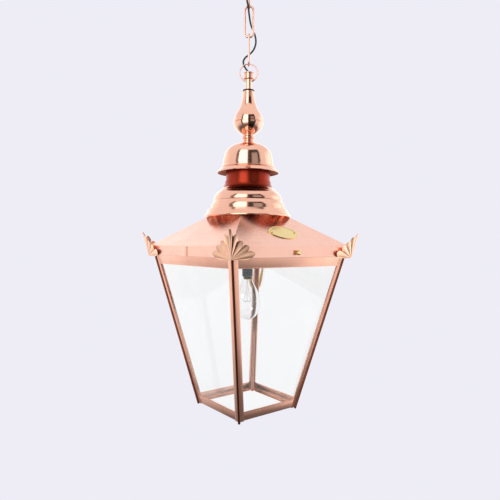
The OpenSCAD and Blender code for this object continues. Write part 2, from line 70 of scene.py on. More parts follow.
FINIAL = BOWL + BOWL_H
WASHER_H = 3.6
WASHER = FINIAL + FINIAL_H
SPINDLE = WASHER + WASHER_H
HOLE = SPINDLE + 18.4
COLLAR_H = 15.5
COLLAR = HOLE + 5
RING_R = 20.0
RING = HOLE + RING_R
LINK_LENGTH = 69.0
LINK_WIRE = 5.0
LINK_BEND_R = 9.5
RING_WIRE = 2.8
CONTACT_GAP = 0.3
HOOK_WIRE_R = 3.0
LINK3 = RING + RING_R - RING_WIRE / 2 - LINK_WIRE / 2 - CONTACT_GAP
LINK2 = LINK3 + LINK_LENGTH - LINK_WIRE - CONTACT_GAP
LINK1 = LINK2 + LINK_LENGTH - LINK_WIRE - CONTACT_GAP
HOOK = LINK1 + LINK_LENGTH - LINK_WIRE / 2 - HOOK_WIRE_R - CONTACT_GAP
HOOK_REACH = 22.0 + 16.0
ROSE_H = 24.0
DROP = HOOK + HOOK_REACH + ROSE_H
HOLDER = 292.0
TURN = math.radians(-38)
ACROSS = Vector((math.cos(TURN), math.sin(TURN), 0))
AWAY = Vector((-math.sin(TURN), math.cos(TURN), 0))
MM = 0.001


def at(x, y, h):
    """A point in the row frame, in metres, from mm and a height above the foot."""
    return Vector((x * MM, y * MM, (h - DROP) * MM))


def near(x, y, h):
    """The same, with x across and y away in the turned frame of the chain."""
    p = ACROSS * x + AWAY * y
    return at(p.x, p.y, h)


# ---------------------------------------------------------------- camera
camera = bpy.data.objects.new("camera", bpy.data.cameras.new("camera"))
bpy.context.scene.collection.objects.link(camera)
camera.data.lens = 34.1
camera.data.sensor_width = 36.0
camera.data.clip_start = 0.01
camera.location = near(5.9, -1065.8, 364.3)
camera.rotation_euler = (
    Matrix.Rotation(TURN, 4, "Z")
    @ Matrix.Rotation(math.radians(90 - 0.68), 4, "X")
    @ Matrix.Rotation(math.radians(0.45), 4, "Z")
).to_euler()
bpy.context.scene.camera = camera


# ---------------------------------------------------------------- mesh tools
def place(name, mesh, material, body, stands_for=(), slot=None, sharp=32):
    obj = bpy.data.objects.new(name, mesh)
    bpy.context.scene.collection.objects.link(obj)
    mesh.materials.append(material)
    for p in mesh.polygons:
        p.use_smooth = True
    mesh.set_sharp_from_angle(angle=math.radians(sharp))
    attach(obj, body)
    if stands_for:
        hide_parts(*stands_for)
    return obj


def grid_mesh(name, rows, uvs, close_u=False, close_v=False, caps=False):
    """Quads over rows of points. uvs holds one (along, across) pair in metres for each point."""
    n, m = len(rows), len(rows[0])
    verts = [p for row in rows for p in row]
    faces, corners = [], []
    for i in range(n if close_v else n - 1):
        for j in range(m if close_u else m - 1):
            i2, j2 = (i + 1) % n, (j + 1) % m
            faces.append((i * m + j, i * m + j2, i2 * m + j2, i2 * m + j))
            a, b = uvs[i][j], uvs[i2][j2]
            if close_u and j2 == 0:
                step = uvs[i][j][0] - uvs[i][j - 1][0]
                b = (a[0] + step, b[1])
            if close_v and i2 == 0:
                b = (b[0], a[1] + uvs[i][j][1] - uvs[i - 1][j][1])
            corners.append(((a[0], a[1]), (b[0], a[1]), (b[0], b[1]), (a[0], b[1])))
    if caps:
        for i in (0, n - 1):
            ring = [i * m + j for j in range(m)]
            faces.append(tuple(ring if i else ring[::-1]))
            corners.append(tuple((0.0005 * j, 0.0) for j in range(m)))
    mesh = bpy.data.meshes.new(name)
    mesh.from_pydata([tuple(v) for v in verts], [], faces)
    layer = mesh.uv_layers.new(name="grain")
    k = 0
    for c in corners:
        for uv in c:
            layer.data[k].uv = uv
            k += 1
    tidy_normals(mesh)
    return mesh


def tidy_normals(mesh, merge=1e-6):
    bm = bmesh.new()
    bm.from_mesh(mesh)
    bmesh.ops.remove_doubles(bm, verts=bm.verts, dist=merge)
    bmesh.ops.recalc_face_normals(bm, faces=bm.faces)
    bm.to_mesh(mesh)
    bm.free()
    mesh.update()


def between(a, b, c, d, t):
    """A smooth curve from b to c, led in from a and out to d, at t from 0 to 1."""
    bend = (2 * a - 5 * b + 4 * c - d) * t * t
    return 0.5 * (2 * b + (c - a) * t + bend + (3 * b - 3 * c + d - a) * t**3)


def spline(points, step):
    """A smooth line through points, with about step between its new points."""
    out = []
    n = len(points) - 1
    pts = [Vector(p) for p in points]
    for i in range(n):
        a, b, c, d = pts[max(i - 1, 0)], pts[i], pts[i + 1], pts[min(i + 2, n)]
        k = max(1, int((c - b).length / step + 0.5))
        for s in range(k):
            out.append(between(a, b, c, d, s / k))
    out.append(pts[-1])
    return out


def profile(*runs, step=1.2):
    """Runs of (radius, height): smooth within a run, with a corner where two runs meet."""
    out = []
    for run in runs:
        line = spline([(r, z, 0) for r, z in run], step) if len(run) > 2 else [Vector((*p, 0)) for p in run]
        out += [(p.x, p.y) for p in line][1 if out else 0 :]
    return out


def circle_angles(n):
    return [2 * math.pi * j / n for j in range(n)]


def turned(name, outline, base, material, body, stands_for=(), slot=None, closed=True, seg=120, sharp=34):
    """A turned piece about the lantern's axis. The outline closes on itself."""
    rows, uvs, run = [], [], 0.0
    top = max(r for r, z in outline)
    for k, (r, z) in enumerate(outline):
        if k:
            run += math.hypot(r - outline[k - 1][0], z - outline[k - 1][1])
        r = max(r, 0.001)
        rows.append([at(r * math.cos(a), r * math.sin(a), base + z) for a in circle_angles(seg)])
        uvs.append([(2 * math.pi * j / seg * top * MM, run * MM) for j in range(seg)])
    mesh = grid_mesh(name, rows, uvs, close_u=True, close_v=closed)
    return place(name, mesh, material, body, stands_for, slot, sharp)


def skin(line, t):
    """Closes an outer profile that runs upwards into a shell of thickness t."""
    inner = []
    for i in range(len(line) - 1, -1, -1):
        a, b = Vector(line[max(i - 1, 0)]), Vector(line[min(i + 1, len(line) - 1)])
        d = (b - a).normalized()
        inner.append((line[i][0] - t * d.y, line[i][1] + t * d.x))
    return line + inner


def ring_frames(points, closed):
    """A direction across the line at each point, carried along without twisting."""
    n = len(points)
    tangents = []
    for i in range(n):
        a = points[(i - 1) % n] if closed or i else points[0]
        b = points[(i + 1) % n] if closed or i < n - 1 else points[-1]
        tangents.append((b - a).normalized())
    side = tangents[0].cross(Vector((0.37, 0.21, 0.9)))
    if side.length < 0.2:
        side = tangents[0].cross(Vector((0.9, 0.2, 0.1)))
    side.normalize()
    sides = []
    for t in tangents:
        side = (side - t * side.dot(t)).normalized()
        sides.append(side.copy())
    return tangents, sides


def tube(name, points, radius, closed=False, around=14):
    """A round tube along points in metres, with uv along and around it."""
    tangents, sides = ring_frames(points, closed)
    rows, uvs, run = [], [], 0.0
    for i, p in enumerate(points):
        if i:
            run += (p - points[i - 1]).length
        u, v = sides[i], tangents[i].cross(sides[i])
        r = radius(i / (len(points) - 1)) if callable(radius) else radius
        rows.append([p + r * (math.cos(a) * u + math.sin(a) * v) for a in circle_angles(around)])
        uvs.append([(run, 2 * math.pi * j / around * r) for j in range(around)])
    n, m = len(rows), around
    faces, corners = [], []
    for i in range(n if closed else n - 1):
        for j in range(m):
            i2, j2 = (i + 1) % n, (j + 1) % m
            faces.append((i * m + j, i * m + j2, i2 * m + j2, i2 * m + j))
            a = uvs[i][j]
            b0 = uvs[i2][j][0] if i2 else a[0] + 0.001
            v1 = a[1] + 2 * math.pi / around * (radius(0) if callable(radius) else radius)
            corners.append(((a[0], a[1]), (a[0], v1), (b0, v1), (b0, a[1])))
    if not closed:
        faces += [tuple(range(m))[::-1], tuple((n - 1) * m + j for j in range(m))]
        corners += [tuple((0.0, 0.0) for j in range(m))] * 2
    mesh = bpy.data.meshes.new(name)
    mesh.from_pydata([tuple(v) for row in rows for v in row], [], faces)
    layer = mesh.uv_layers.new(name="grain")
    k = 0
    for c in corners:
        for uv in c:
            layer.data[k].uv = uv
            k += 1
    tidy_normals(mesh)
    return mesh


def side_matrix(k, half, lean, h):
    """Side k, 0 front, 1 right, 2 back, 3 left: x across, y up the side, z outwards, in mm."""
    m = (
        Matrix.Rotation(math.radians(90 * k), 4, "Z")
        @ Matrix.Translation((0, -half, h))
        @ Matrix.Rotation(math.radians(90 + lean), 4, "X")
    )
    return m


def plate(name, outline, z0, z1, matrix, along, bevel=0.25, extra=()):
    """A flat plate: outline in mm, from z0 to z1, with small rounded edges. along is the grain."""
    bm = bmesh.new()
    for shape, a, b in ((outline, z0, z1), *extra):
        low = [bm.verts.new((x, y, a)) for x, y in shape]
        high = [bm.verts.new((x, y, b)) for x, y in shape]
        n = len(shape)
        bm.faces.new(low[::-1])
        bm.faces.new(high)
        for i in range(n):
            bm.faces.new((low[i], low[(i + 1) % n], high[(i + 1) % n], high[i]))
    bmesh.ops.recalc_face_normals(bm, faces=bm.faces)
    if bevel:
        bmesh.ops.bevel(bm, geom=bm.edges[:], offset=bevel, segments=2, affect="EDGES", profile=0.6)
    layer = bm.loops.layers.uv.new("grain")
    d = Vector(along).normalized()
    w = Vector((-d.y, d.x, 0))
    for f in bm.faces:
        flat = abs(f.normal.z) > 0.5
        for loop in f.loops:
            c = loop.vert.co
            loop[layer].uv = (c.dot(d) * MM, (c.dot(w) + (0 if flat else c.z)) * MM)
    for v in bm.verts:
        p = matrix @ v.co
        v.co = at(p.x, p.y, p.z)
    mesh = bpy.data.meshes.new(name)
    bm.to_mesh(mesh)
    bm.free()
    return mesh


# ---------------------------------------------------------------- node groups and materials
def link(tree, a, b):
    tree.links.new(a, b)


def math_node(tree, op, a, b=None, c=None, clamp=False):
    n = tree.nodes.new("ShaderNodeMath")
    n.operation = op
    n.use_clamp = clamp
    for i, v in enumerate((a, b, c)):
        if v is None:
            continue
        if isinstance(v, (int, float)):
            n.inputs[i].default_value = v
        else:
            tree.links.new(v, n.inputs[i])
    return n.outputs[0]


def noise(tree, vector, scale, detail=3.0, rough=0.55, distortion=0.0):
    n = tree.nodes.new("ShaderNodeTexNoise")
    n.inputs["Scale"].default_value = scale
    n.inputs["Detail"].default_value = detail
    n.inputs["Roughness"].default_value = rough
    n.inputs["Distortion"].default_value = distortion
    tree.links.new(vector, n.inputs["Vector"])
    return n.outputs[0]


def scaled(tree, vector, s):
    n = tree.nodes.new("ShaderNodeVectorMath")
    n.operation = "MULTIPLY"
    n.inputs[1].default_value = s
    tree.links.new(vector, n.inputs[0])
    return n.outputs[0]


def remap(tree, value, a, b, c, d):
    n = tree.nodes.new("ShaderNodeMapRange")
    tree.links.new(value, n.inputs[0])
    for i, v in enumerate((a, b, c, d)):
        n.inputs[i + 1].default_value = v
    return n.outputs[0]


def mix_colour(tree, fac, a, b):
    n = tree.nodes.new("ShaderNodeMix")
    n.data_type = "RGBA"
    for sock, v in ((n.inputs[0], fac), (n.inputs[6], a), (n.inputs[7], b)):
        if isinstance(v, (int, float)):
            sock.default_value = v
        elif isinstance(v, tuple):
            sock.default_value = v
        else:
            tree.links.new(v, sock)
    return n.outputs[2]


def group(name, inputs, outputs):
    g = bpy.data.node_groups.new(name, "ShaderNodeTree")
    for label, kind, default in inputs:
        s = g.interface.new_socket(label, in_out="INPUT", socket_type=kind)
        if default is not None:
            s.default_value = default
    for label, kind in outputs:
        g.interface.new_socket(label, in_out="OUTPUT", socket_type=kind)
    return g, g.nodes.new("NodeGroupInput"), g.nodes.new("NodeGroupOutput")


COLOUR, FLOAT, VECTOR = "NodeSocketColor", "NodeSocketFloat", "NodeSocketVector"


def make_metal_group():
    """Brushed or spun metal: streaks along the grain, blotches of handling, and tarnish."""
    g, gi, go = group(
        "metal_surface",
        [
            ("Grain", VECTOR, None),
            ("Place", VECTOR, None),
            ("Clean", COLOUR, (0.9, 0.55, 0.42, 1)),
            ("Tarnish", COLOUR, (0.5, 0.22, 0.12, 1)),
            ("Tarnish Amount", FLOAT, 0.3),
            ("Streaks", FLOAT, 0.5),
            ("Roughness Low", FLOAT, 0.2),
            ("Roughness High", FLOAT, 0.4),
        ],
        [("Color", COLOUR), ("Roughness", FLOAT), ("Height", FLOAT)],
    )
    fine = noise(g, scaled(g, gi.outputs["Grain"], (14, 1500, 1)), 1.0, 4.0, 0.6)
    broad = noise(g, scaled(g, gi.outputs["Grain"], (5, 190, 1)), 1.0, 3.0, 0.55)
    scratch = noise(g, scaled(g, gi.outputs["Grain"], (60, 3800, 1)), 1.0, 2.0, 0.5)
    blotch = noise(g, gi.outputs["Place"], 11.0, 5.0, 0.62, 0.6)
    smudge = noise(g, gi.outputs["Place"], 42.0, 4.0, 0.6, 1.2)
    speck = noise(g, gi.outputs["Place"], 520.0, 2.0, 0.5)
    streak = math_node(g, "ADD", math_node(g, "MULTIPLY", fine, 0.5), math_node(g, "MULTIPLY", broad, 0.5))
    signed = math_node(g, "MULTIPLY", math_node(g, "SUBTRACT", streak, 0.5), gi.outputs["Streaks"])
    dull = remap(g, blotch, 0.42, 0.72, 0.0, 1.0)
    dull = math_node(g, "ADD", math_node(g, "MULTIPLY", dull, 0.75), math_node(g, "MULTIPLY", signed, 1.7))
    dull = math_node(g, "ADD", dull, math_node(g, "MULTIPLY", remap(g, smudge, 0.5, 0.75, 0.0, 1.0), 0.3))
    amount = math_node(g, "MULTIPLY", dull, gi.outputs["Tarnish Amount"], clamp=True)
    colour = mix_colour(g, amount, gi.outputs["Clean"], gi.outputs["Tarnish"])
    spot_amount = math_node(g, "MULTIPLY", gi.outputs["Tarnish Amount"], 0.8)
    spots = math_node(g, "MULTIPLY", remap(g, speck, 0.7, 0.78, 0.0, 1.0), spot_amount)
    colour = mix_colour(g, spots, colour, gi.outputs["Tarnish"])
    link(g, colour, go.inputs["Color"])
    span = math_node(g, "SUBTRACT", gi.outputs["Roughness High"], gi.outputs["Roughness Low"])
    wear = math_node(g, "ADD", math_node(g, "MULTIPLY", blotch, 0.55), math_node(g, "MULTIPLY", smudge, 0.3))
    wear = math_node(g, "ADD", wear, math_node(g, "MULTIPLY", signed, 0.9), clamp=True)
    rough = math_node(g, "ADD", gi.outputs["Roughness Low"], math_node(g, "MULTIPLY", span, wear))
    link(g, rough, go.inputs["Roughness"])
    ridges = math_node(g, "MULTIPLY", streak, gi.outputs["Streaks"])
    height = math_node(g, "ADD", ridges, math_node(g, "MULTIPLY", scratch, 0.25))
    height = math_node(g, "ADD", height, math_node(g, "MULTIPLY", blotch, 0.9))
    link(g, height, go.inputs["Height"])
    return g


metal_group = make_metal_group()


def start(name):
    m = bpy.data.materials.new(name)
    m.use_nodes = True
    t = m.node_tree
    return m, t, t.nodes["Principled BSDF"]


def metal(name, clean, tarnish, amount, streaks, low, high, bump, grain_uv=True):
    """Clean and tarnished colour, how much tarnish, streaks, lowest and highest roughness, and bump."""
    m, t, b = start(name)
    coords = t.nodes.new("ShaderNodeTexCoord")
    g = t.nodes.new("ShaderNodeGroup")
    g.node_tree = metal_group
    if grain_uv:
        uv = t.nodes.new("ShaderNodeUVMap")
        uv.uv_map = "grain"
        link(t, uv.outputs[0], g.inputs["Grain"])
    else:
        link(t, scaled(t, coords.outputs["Object"], (1, 1, 1)), g.inputs["Grain"])
    link(t, coords.outputs["Object"], g.inputs["Place"])
    g.inputs["Clean"].default_value = (*clean, 1)
    g.inputs["Tarnish"].default_value = (*tarnish, 1)
    g.inputs["Tarnish Amount"].default_value = amount
    g.inputs["Streaks"].default_value = streaks
    g.inputs["Roughness Low"].default_value = low
    g.inputs["Roughness High"].default_value = high
    b.inputs["Metallic"].default_value = 1.0
    link(t, g.outputs["Color"], b.inputs["Base Color"])
    link(t, g.outputs["Roughness"], b.inputs["Roughness"])
    bn = t.nodes.new("ShaderNodeBump")
    bn.inputs["Strength"].default_value = bump
    bn.inputs["Distance"].default_value = 0.0006
    link(t, g.outputs["Height"], bn.inputs["Height"])
    link(t, bn.outputs[0], b.inputs["Normal"])
    return m


CLEAN = (0.96, 0.57, 0.45)
DARK = (0.60, 0.25, 0.16)
copper_sheet = metal("copper_sheet", CLEAN, DARK, 0.28, 0.5, 0.20, 0.38, 0.05)
copper_rail = metal("copper_rail", (0.90, 0.48, 0.35), (0.55, 0.24, 0.14), 0.45, 0.8, 0.16, 0.32, 0.10)
copper_ear = metal("copper_ear", (0.96, 0.56, 0.38), (0.40, 0.16, 0.07), 0.4, 0.6, 0.14, 0.32, 0.12)
copper_turned = metal("copper_turned", (0.96, 0.53, 0.39), (0.52, 0.18, 0.08), 0.18, 0.3, 0.04, 0.12, 0.03)
copper_spun = metal("copper_spun", (0.94, 0.52, 0.38), (0.56, 0.22, 0.12), 0.24, 0.4, 0.09, 0.2, 0.05)
# Dark red copper for the chimney and the bell's neck: painted shade, the cap's shadow put into their colour.
copper_shade_under_cap = metal("copper_shade_under_cap", (0.34, 0.035, 0.016), (0.16, 0.016, 0.008), 0.45, 0.5, 0.26, 0.4, 0.06)
# The inside of the cap is painted dark: painted shade under the cap.
copper_inside_shade = metal("copper_inside_shade", (0.42, 0.12, 0.06), (0.16, 0.05, 0.025), 0.6, 0.5, 0.4, 0.6, 0.06)
copper_chain = metal("copper_chain", (0.93, 0.60, 0.48), (0.55, 0.26, 0.16), 0.3, 0.35, 0.14, 0.28, 0.06)
# Nearly black corner bars: painted shade and a painted reflection of the dark room in front.
copper_bead_dark_shade = metal("copper_bead_dark_shade", (0.20, 0.055, 0.025), (0.05, 0.014, 0.008), 0.6, 0.5, 0.22, 0.42, 0.10)
BRASS = ((0.86, 0.66, 0.30), (0.42, 0.25, 0.07), 0.35, 0.5, 0.18, 0.36, 0.10)
brass_plain = metal("brass_plain", *BRASS)
brass_cad = metal("brass_cad", *BRASS, grain_uv=False)
copper_cad = metal(
    "copper_cad", (0.88, 0.50, 0.37), (0.50, 0.22, 0.12), 0.4, 0.5, 0.2, 0.4, 0.10, grain_uv=False
)
steel_cad = metal(
    "steel_cad", (0.62, 0.62, 0.64), (0.30, 0.29, 0.28), 0.3, 0.5, 0.25, 0.42, 0.10, grain_uv=False
)


def plastic(name, colour, worn, low, high, bump=0.15, scale=300.0):
    m, t, b = start(name)
    coords = t.nodes.new("ShaderNodeTexCoord")
    a = noise(t, coords.outputs["Object"], scale, 4.0)
    c = noise(t, coords.outputs["Object"], 26.0, 3.0, 0.6, 0.8)
    link(t, mix_colour(t, remap(t, c, 0.4, 0.75, 0.0, 1.0), (*colour, 1), (*worn, 1)), b.inputs["Base Color"])
    link(t, remap(t, a, 0.3, 0.7, low, high), b.inputs["Roughness"])
    bn = t.nodes.new("ShaderNodeBump")
    bn.inputs["Strength"].default_value = bump
    bn.inputs["Distance"].default_value = 0.0003
    link(t, a, bn.inputs["Height"])
    link(t, bn.outputs[0], b.inputs["Normal"])
    return m


black_gloss = plastic("black_gloss", (0.008, 0.008, 0.010), (0.02, 0.02, 0.022), 0.12, 0.3)
brown_gloss = plastic("brown_gloss", (0.05, 0.018, 0.010), (0.09, 0.035, 0.02), 0.2, 0.4)
rubber = plastic("rubber", (0.004, 0.004, 0.004), (0.012, 0.011, 0.01), 0.5, 0.75, 0.3)


def make_flex():
    """A black braided sheath: two sets of fine crossing strands."""
    m, t, b = start("flex_sheath")
    uv = t.nodes.new("ShaderNodeUVMap")
    uv.uv_map = "grain"
    sep = t.nodes.new("ShaderNodeSeparateXYZ")
    link(t, uv.outputs[0], sep.inputs[0])
    waves = []
    for s in (1, -1):
        along = math_node(t, "MULTIPLY", sep.outputs[0], 4200.0)
        round_it = math_node(t, "MULTIPLY", sep.outputs[1], 4000.0 * s)
        phase = math_node(t, "ADD", along, round_it)
        waves.append(math_node(t, "ABSOLUTE", math_node(t, "SINE", phase)))
    height = math_node(t, "MAXIMUM", waves[0], waves[1])
    # The colour darkens in the grooves between strands: painted shade.
    link(t, mix_colour(t, height, (0.004, 0.004, 0.004, 1), (0.022, 0.021, 0.022, 1)), b.inputs["Base Color"])
    link(t, remap(t, height, 0.0, 1.0, 0.75, 0.45), b.inputs["Roughness"])
    bn = t.nodes.new("ShaderNodeBump")
    bn.inputs["Strength"].default_value = 0.35
    bn.inputs["Distance"].default_value = 0.0003
    link(t, height, bn.inputs["Height"])
    link(t, bn.outputs[0], b.inputs["Normal"])
    return m


flex_sheath = make_flex()


def glass(name, tint, rough, wave, scale, dust):
    m, t, b = start(name)
    coords = t.nodes.new("ShaderNodeTexCoord")
    b.inputs["Transmission Weight"].default_value = 1.0
    b.inputs["IOR"].default_value = 1.45
    film = noise(t, coords.outputs["Object"], 14.0, 5.0, 0.65, 1.0)
    dusty = remap(t, film, 0.35, 0.8, 0.0, dust)
    link(t, mix_colour(t, dusty, (*tint, 1), (0.86, 0.87, 0.88, 1)), b.inputs["Base Color"])
    link(t, remap(t, film, 0.3, 0.8, rough, rough + 0.03), b.inputs["Roughness"])
    bn = t.nodes.new("ShaderNodeBump")
    bn.inputs["Strength"].default_value = wave
    bn.inputs["Distance"].default_value = 0.001
    link(t, noise(t, coords.outputs["Object"], scale, 1.0), bn.inputs["Height"])
    link(t, bn.outputs[0], b.inputs["Normal"])
    return m


pane_glass = glass("pane_glass", (0.985, 0.99, 0.99), 0.0, 0.02, 6.0, 0.15)
bulb_clear = glass("bulb_clear", (0.99, 0.99, 0.99), 0.0, 0.03, 20.0, 0.1)

# ---------------------------------------------------------------- flex through the chain
# Across, away and height above the ring's middle, in mm.
FLEX = [
    (0, -20, DROP - ROSE_H - RING), (0, -20, 232), (-3, -20.5, 215), (-6.5, -20, 198), (-8, -19, 182),
    (-7.4, -18, 168), (-5.4, -17.5, 155), (-2.6, -14, 142), (-0.6, -7.5, 131), (1.2, 0, 121),
    (3.8, 6.4, 111), (8, 9.4, 101), (12.6, 9, 90), (15.2, 6.8, 78), (15, 4, 66), (11.4, 2.5, 54.5),
    (6, 1.5, 46.5), (0, 1, 41), (-8, 2.4, 35), (-12.4, 4.6, 27.5), (-10.8, 6, 19), (-6.4, 5.6, 11),
    (-1.3, 3.9, 3.5), (0, 3.75, -3.5), (0, 3.75, -9),
]
FLEX_D = 4.0
FLEX_SPAN = 6
FLEX_CUTS = (0, 5, 9, 14, 18, 24)


def flex_line():
    """The whole run, with the place of each chosen point marked."""
    pts = [near(x, y, RING + z) for x, y, z in FLEX]
    n = len(pts) - 1
    out, marks = [], [0]
    for i in range(n):
        a, b, c, d = pts[max(i - 1, 0)], pts[i], pts[i + 1], pts[min(i + 2, n)]
        for s in range(FLEX_SPAN):
            out.append(between(a, b, c, d, s / FLEX_SPAN))
        marks.append(len(out))
    out.append(pts[-1])
    return out, marks


def make_flex_runs():
    """The flex is cut into one run for each joint that it passes."""
    line, marks = flex_line()
    for k in range(len(FLEX_CUTS) - 1):
        path = line[marks[FLEX_CUTS[k]] : marks[FLEX_CUTS[k + 1]] + 1]
        mesh = tube(f"flex_run_{k + 1}", path, FLEX_D / 2 * MM, around=12)
        obj = bpy.data.objects.new(f"flex_run_{k + 1}", mesh)
        bpy.context.scene.collection.objects.link(obj)
        mesh.materials.append(flex_sheath)
        for p in mesh.polygons:
            p.use_smooth = True
        mesh.set_sharp_from_angle(angle=math.radians(50))
        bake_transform(obj)
        if k == 0:
            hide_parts("supply_flex")


make_flex_runs()


# ---------------------------------------------------------------- chain
def link_points(lo, across):
    r = LINK_BEND_R
    pts = []
    for a in range(0, 181, 9):
        pts.append((r * math.cos(math.radians(180 + a)), lo + r + r * math.sin(math.radians(180 + a))))
    for i in range(1, 8):
        pts.append((r, lo + r + (LINK_LENGTH - 2 * r) * i / 8))
    for a in range(0, 181, 9):
        pts.append((r * math.cos(math.radians(a)), lo + LINK_LENGTH - r + r * math.sin(math.radians(a))))
    for i in range(1, 8):
        pts.append((-r, lo + LINK_LENGTH - r - (LINK_LENGTH - 2 * r) * i / 8))
    return [near(x, 0, h) if across else near(0, x, h) for x, h in pts]


for number, (lo, across) in enumerate(((LINK1, False), (LINK2, True), (LINK3, False)), 1):
    name = f"link_wire_{number}"
    mesh = tube(name, link_points(lo, across), LINK_WIRE / 2 * MM, closed=True, around=16)
    place(name, mesh, copper_chain, f"link_{number}", (f"chain_link_{number}",), "satin_copper")

circle = [near(RING_R * math.cos(a), 0, RING + RING_R * math.sin(a)) for a in circle_angles(72)]
mesh = tube("ring_wire", circle, RING_WIRE / 2 * MM, closed=True, around=12)
place("ring_wire", mesh, copper_chain, "ring", ("hanging_ring",), "satin_copper")

# ---------------------------------------------------------------- turned pieces
turned(
    "collar",
    profile(
        [(6, 0), (10.6, 0)],
        [(10.6, 0), (11.6, 0.7), (11.8, 1.8), (11.4, 2.8), (10.6, 3.3)],
        [(10.6, 3.3), (10.3, COLLAR_H / 2), (10.6, COLLAR_H - 3.3)],
        [(10.6, COLLAR_H - 3.3), (11.4, COLLAR_H - 2.8), (11.8, COLLAR_H - 1.8), (11.5, COLLAR_H - 0.7),
         (10.4, COLLAR_H)],
        [(10.4, COLLAR_H), (6, COLLAR_H)], step=0.3,
    ),
    COLLAR, copper_turned, "crown", ("cable_collar",), "polished_copper", seg=72,
)
turned(
    "washer",
    profile(
        [(5, 0), (12, 0)], [(12, 0), (12.8, 0.7), (13, 1.8), (12.8, 2.9), (12, WASHER_H)],
        [(12, WASHER_H), (5, WASHER_H)], step=0.4,
    ),
    WASHER, rubber, "crown", ("rubber_washer",), "black_rubber", seg=72,
)
turned(
    "finial_upper",
    profile(
        [(5, 0), (32.8, 0)], [(32.8, 0), (33.6, 0.8), (33.5, 2), (32.9, 3.6)],
        [(32.9, 3.6), (32.4, 7), (31.2, 11.5), (29.2, 16.5), (26.6, 21.5), (23.2, 27), (20.2, 32.5),
         (17.8, 38.5), (16, 44.5), (14.6, 50.5), (13.4, 56.5), (12.6, 62.5), (12.2, FINIAL_H)],
        [(12.2, FINIAL_H), (5, FINIAL_H)],
    ),
    FINIAL, copper_turned, "crown", ("finial_bell",), "polished_copper", seg=144,
)
turned(
    "finial_lower",
    profile(
        [(5, 0), (11.4, 0)],
        [(11.4, 0), (13, 1.6), (19.4, 5.4), (25, 10.2), (29.4, 15.6), (32, 21), (33, 25), (33.2, BOWL_H)],
        [(33.2, BOWL_H), (5, BOWL_H)],
    ),
    BOWL, copper_turned, "crown", ("finial_bowl",), "polished_copper", seg=144,
)
turned(
    "neck",
    profile(
        [(5, 0), (15, 0)],
        [(15, 0), (15.2, 0.8), (14.9, 1.7)],
        [(14.9, 1.7), (13.4, 2.8), (11.6, 4.4), (11, 6.4)],
        [(11, 6.4), (12.4, 8.2), (14.2, 9.4), (14.8, 11.2), (14.3, 13), (12.4, 14.7), (11.3, 15.7)],
        [(11.3, 15.7), (11.2, NECK_H)], [(11.2, NECK_H), (5, NECK_H)], step=0.6,
    ),
    NECK, copper_turned, "crown", ("finial_neck",), "polished_copper", seg=96,
)


def faced(obj, material, low, high):
    """Gives the faces between two distances along the outline, in mm, their own material."""
    obj.data.materials.append(material)
    layer = obj.data.uv_layers["grain"].data
    for face in obj.data.polygons:
        if low * MM - 1e-7 < min(layer[k].uv[1] for k in face.loop_indices) < high * MM:
            face.material_index = 1
    return obj


SPUN_T = 0.9


def run_length(line):
    return sum(math.dist(a, b) for a, b in zip(line, line[1:]))


s = CAP_R
cap_line = profile(
    [(s - 1.2, 0), (s - 0.3, 0.2), (s, 1.1), (s - 0.8, 2)],
    [(s - 0.8, 2), (s - 3, 4.2), (s - 6.4, 7.4), (s - 9.2, 9.6), (s - 10.4, 11)],
    [(s - 10.4, 11), (s - 9.9, 11.6), (s - 9.8, 12.3), (s - 10.4, 13), (s - 11.9, 13.5)],
    [(s - 11.9, 13.5), (s - 12.8, 18), (s - 13.4, 23), (s - 14.6, 30), (s - 16.4, 38.5), (s - 18.6, 45),
     (s - 21.8, 50.5), (s - 26, 55), (s - 31, 58.8), (s - 37.4, 62.2), (s - 44, 64.8), (s - 51, 66.6),
     (5.5, CAP_H)],
)
cap_shell = turned(
    "cap_shell", skin(cap_line, SPUN_T), CAP, copper_spun, "crown", ("cap",), "satin_copper", seg=160,
)
# The cap's inner faces take the dark copper: painted shade.
faced(cap_shell, copper_inside_shade, run_length(cap_line), 2 * run_length(cap_line))
n = CHIMNEY_R
# The chimney under the cap is painted dark red: painted shade.
turned(
    "chimney_tube",
    profile(
        [(n - 1, 0), (n, 0)],
        [(n, 0), (n, 57)],
        [(n, 57), (n + 0.7, 57.6), (n + 1, 58.6), (n + 0.7, 59.6), (n - 0.2, 60)],
        [(n - 0.2, 60), (n - 1, 59.4)], [(n - 1, 59.4), (n - 1, 0)], step=1.0,
    ),
    CHIMNEY, copper_shade_under_cap, "crown", ("chimney",), "satin_copper", seg=128,
)
n = CHIMNEY_R + 1.1
BELL_RUNS = (
    ((0.993, 0), (1.002, 0.3), (1.006, 1.1), (1.0, 2.1)),
    ((1.0, 2.1), (0.956, 5), (0.89, 10.2), (0.84, 15)),
    ((0.84, 15), (0.832, 15.8), (0.8, 16.2)),
    ((0.8, 16.2), (0.7, 16.9)),
    ((0.7, 16.9), (0.693, 20.6), (0.686, 24), (0.652, 28), (0.6, 32), (0.553, 35)),
    ((0.553, 35), (0.566, 36.2), (0.57, 38.4), (0.554, 42), (0.5, 47), (0.42, 51.4), (0.334, 55)),
    ((0.334, 55), (0.31, 55.6)),
    ((0.31, 55.6), (0.27, 57.6), (0.17, 61.8), (0.09, 66.6), (0.04, 71.4), (0.022, 75), (0.022, 78)),
)
bell_line = profile(*[[(n + f * (BELL_R - n), z) for f, z in run] for run in BELL_RUNS])
bell_shell = turned(
    "bell_shell", skin(bell_line, SPUN_T), BELL, copper_spun, "crown", ("chimney_bell",), "satin_copper",
    seg=160,
)
# The bell's neck under the cap takes the dark red copper: painted shade.
faced(bell_shell, copper_shade_under_cap, run_length([p for p in bell_line if p[1] < 64]), run_length(bell_line))

